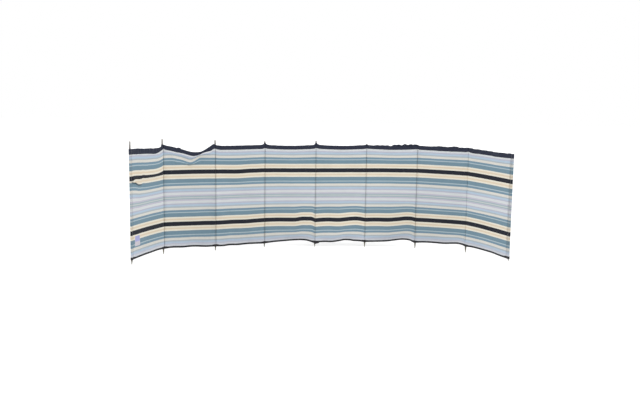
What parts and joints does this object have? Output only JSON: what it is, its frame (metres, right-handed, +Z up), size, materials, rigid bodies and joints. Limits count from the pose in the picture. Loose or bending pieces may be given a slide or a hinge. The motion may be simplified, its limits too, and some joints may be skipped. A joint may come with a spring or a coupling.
{
  "type": "beach windbreak",
  "caption": "Long striped cloth screen held upright by pointed wooden poles in sewn pockets, set out in a curve to shelter people on a beach.",
  "frame": {"origin": "foot of the middle pole, on its axis, at ground level", "axes": "+Z up, +X along the windbreak from the first bay to the last, -Y the sheltered side"},
  "size_m": [4.2247, 1.2352, 1.339],
  "materials": {
    "pole_wood": "weathered bare softwood",
    "striped_cloth": "woven stripes of near-black, cream, grey teal and pale blue",
    "top_binding": "navy woven tape",
    "bottom_binding": "near-black woven tape",
    "label_cloth": "plain satin label"
  },
  "bodies": {
    "root": {"pole_1": "pole_wood", "pole_2": "pole_wood", "pole_3": "pole_wood", "pole_4": "pole_wood", "pole_5": "pole_wood", "pole_6": "pole_wood", "pole_7": "pole_wood", "pole_8": "pole_wood", "pole_9": "pole_wood", "pocket_1": "striped_cloth", "pocket_2": "striped_cloth", "pocket_3": "striped_cloth", "pocket_4": "striped_cloth", "pocket_5": "striped_cloth", "pocket_6": "striped_cloth", "pocket_7": "striped_cloth", "pocket_8": "striped_cloth", "pocket_9": "striped_cloth", "panel_1": "striped_cloth", "bottom_hem_1": "bottom_binding", "top_hem_1": "top_binding", "panel_2": "striped_cloth", "bottom_hem_2": "bottom_binding", "top_hem_2": "top_binding", "panel_3": "striped_cloth", "bottom_hem_3": "bottom_binding", "top_hem_3": "top_binding", "panel_4": "striped_cloth", "bottom_hem_4": "bottom_binding", "top_hem_4": "top_binding", "panel_5": "striped_cloth", "bottom_hem_5": "bottom_binding", "top_hem_5": "top_binding", "panel_6": "striped_cloth", "bottom_hem_6": "bottom_binding", "top_hem_6": "top_binding", "panel_7": "striped_cloth", "bottom_hem_7": "bottom_binding", "top_hem_7": "top_binding", "panel_8": "striped_cloth", "bottom_hem_8": "bottom_binding", "top_hem_8": "top_binding", "sewn_label": "label_cloth"}
  },
  "joints": []
}
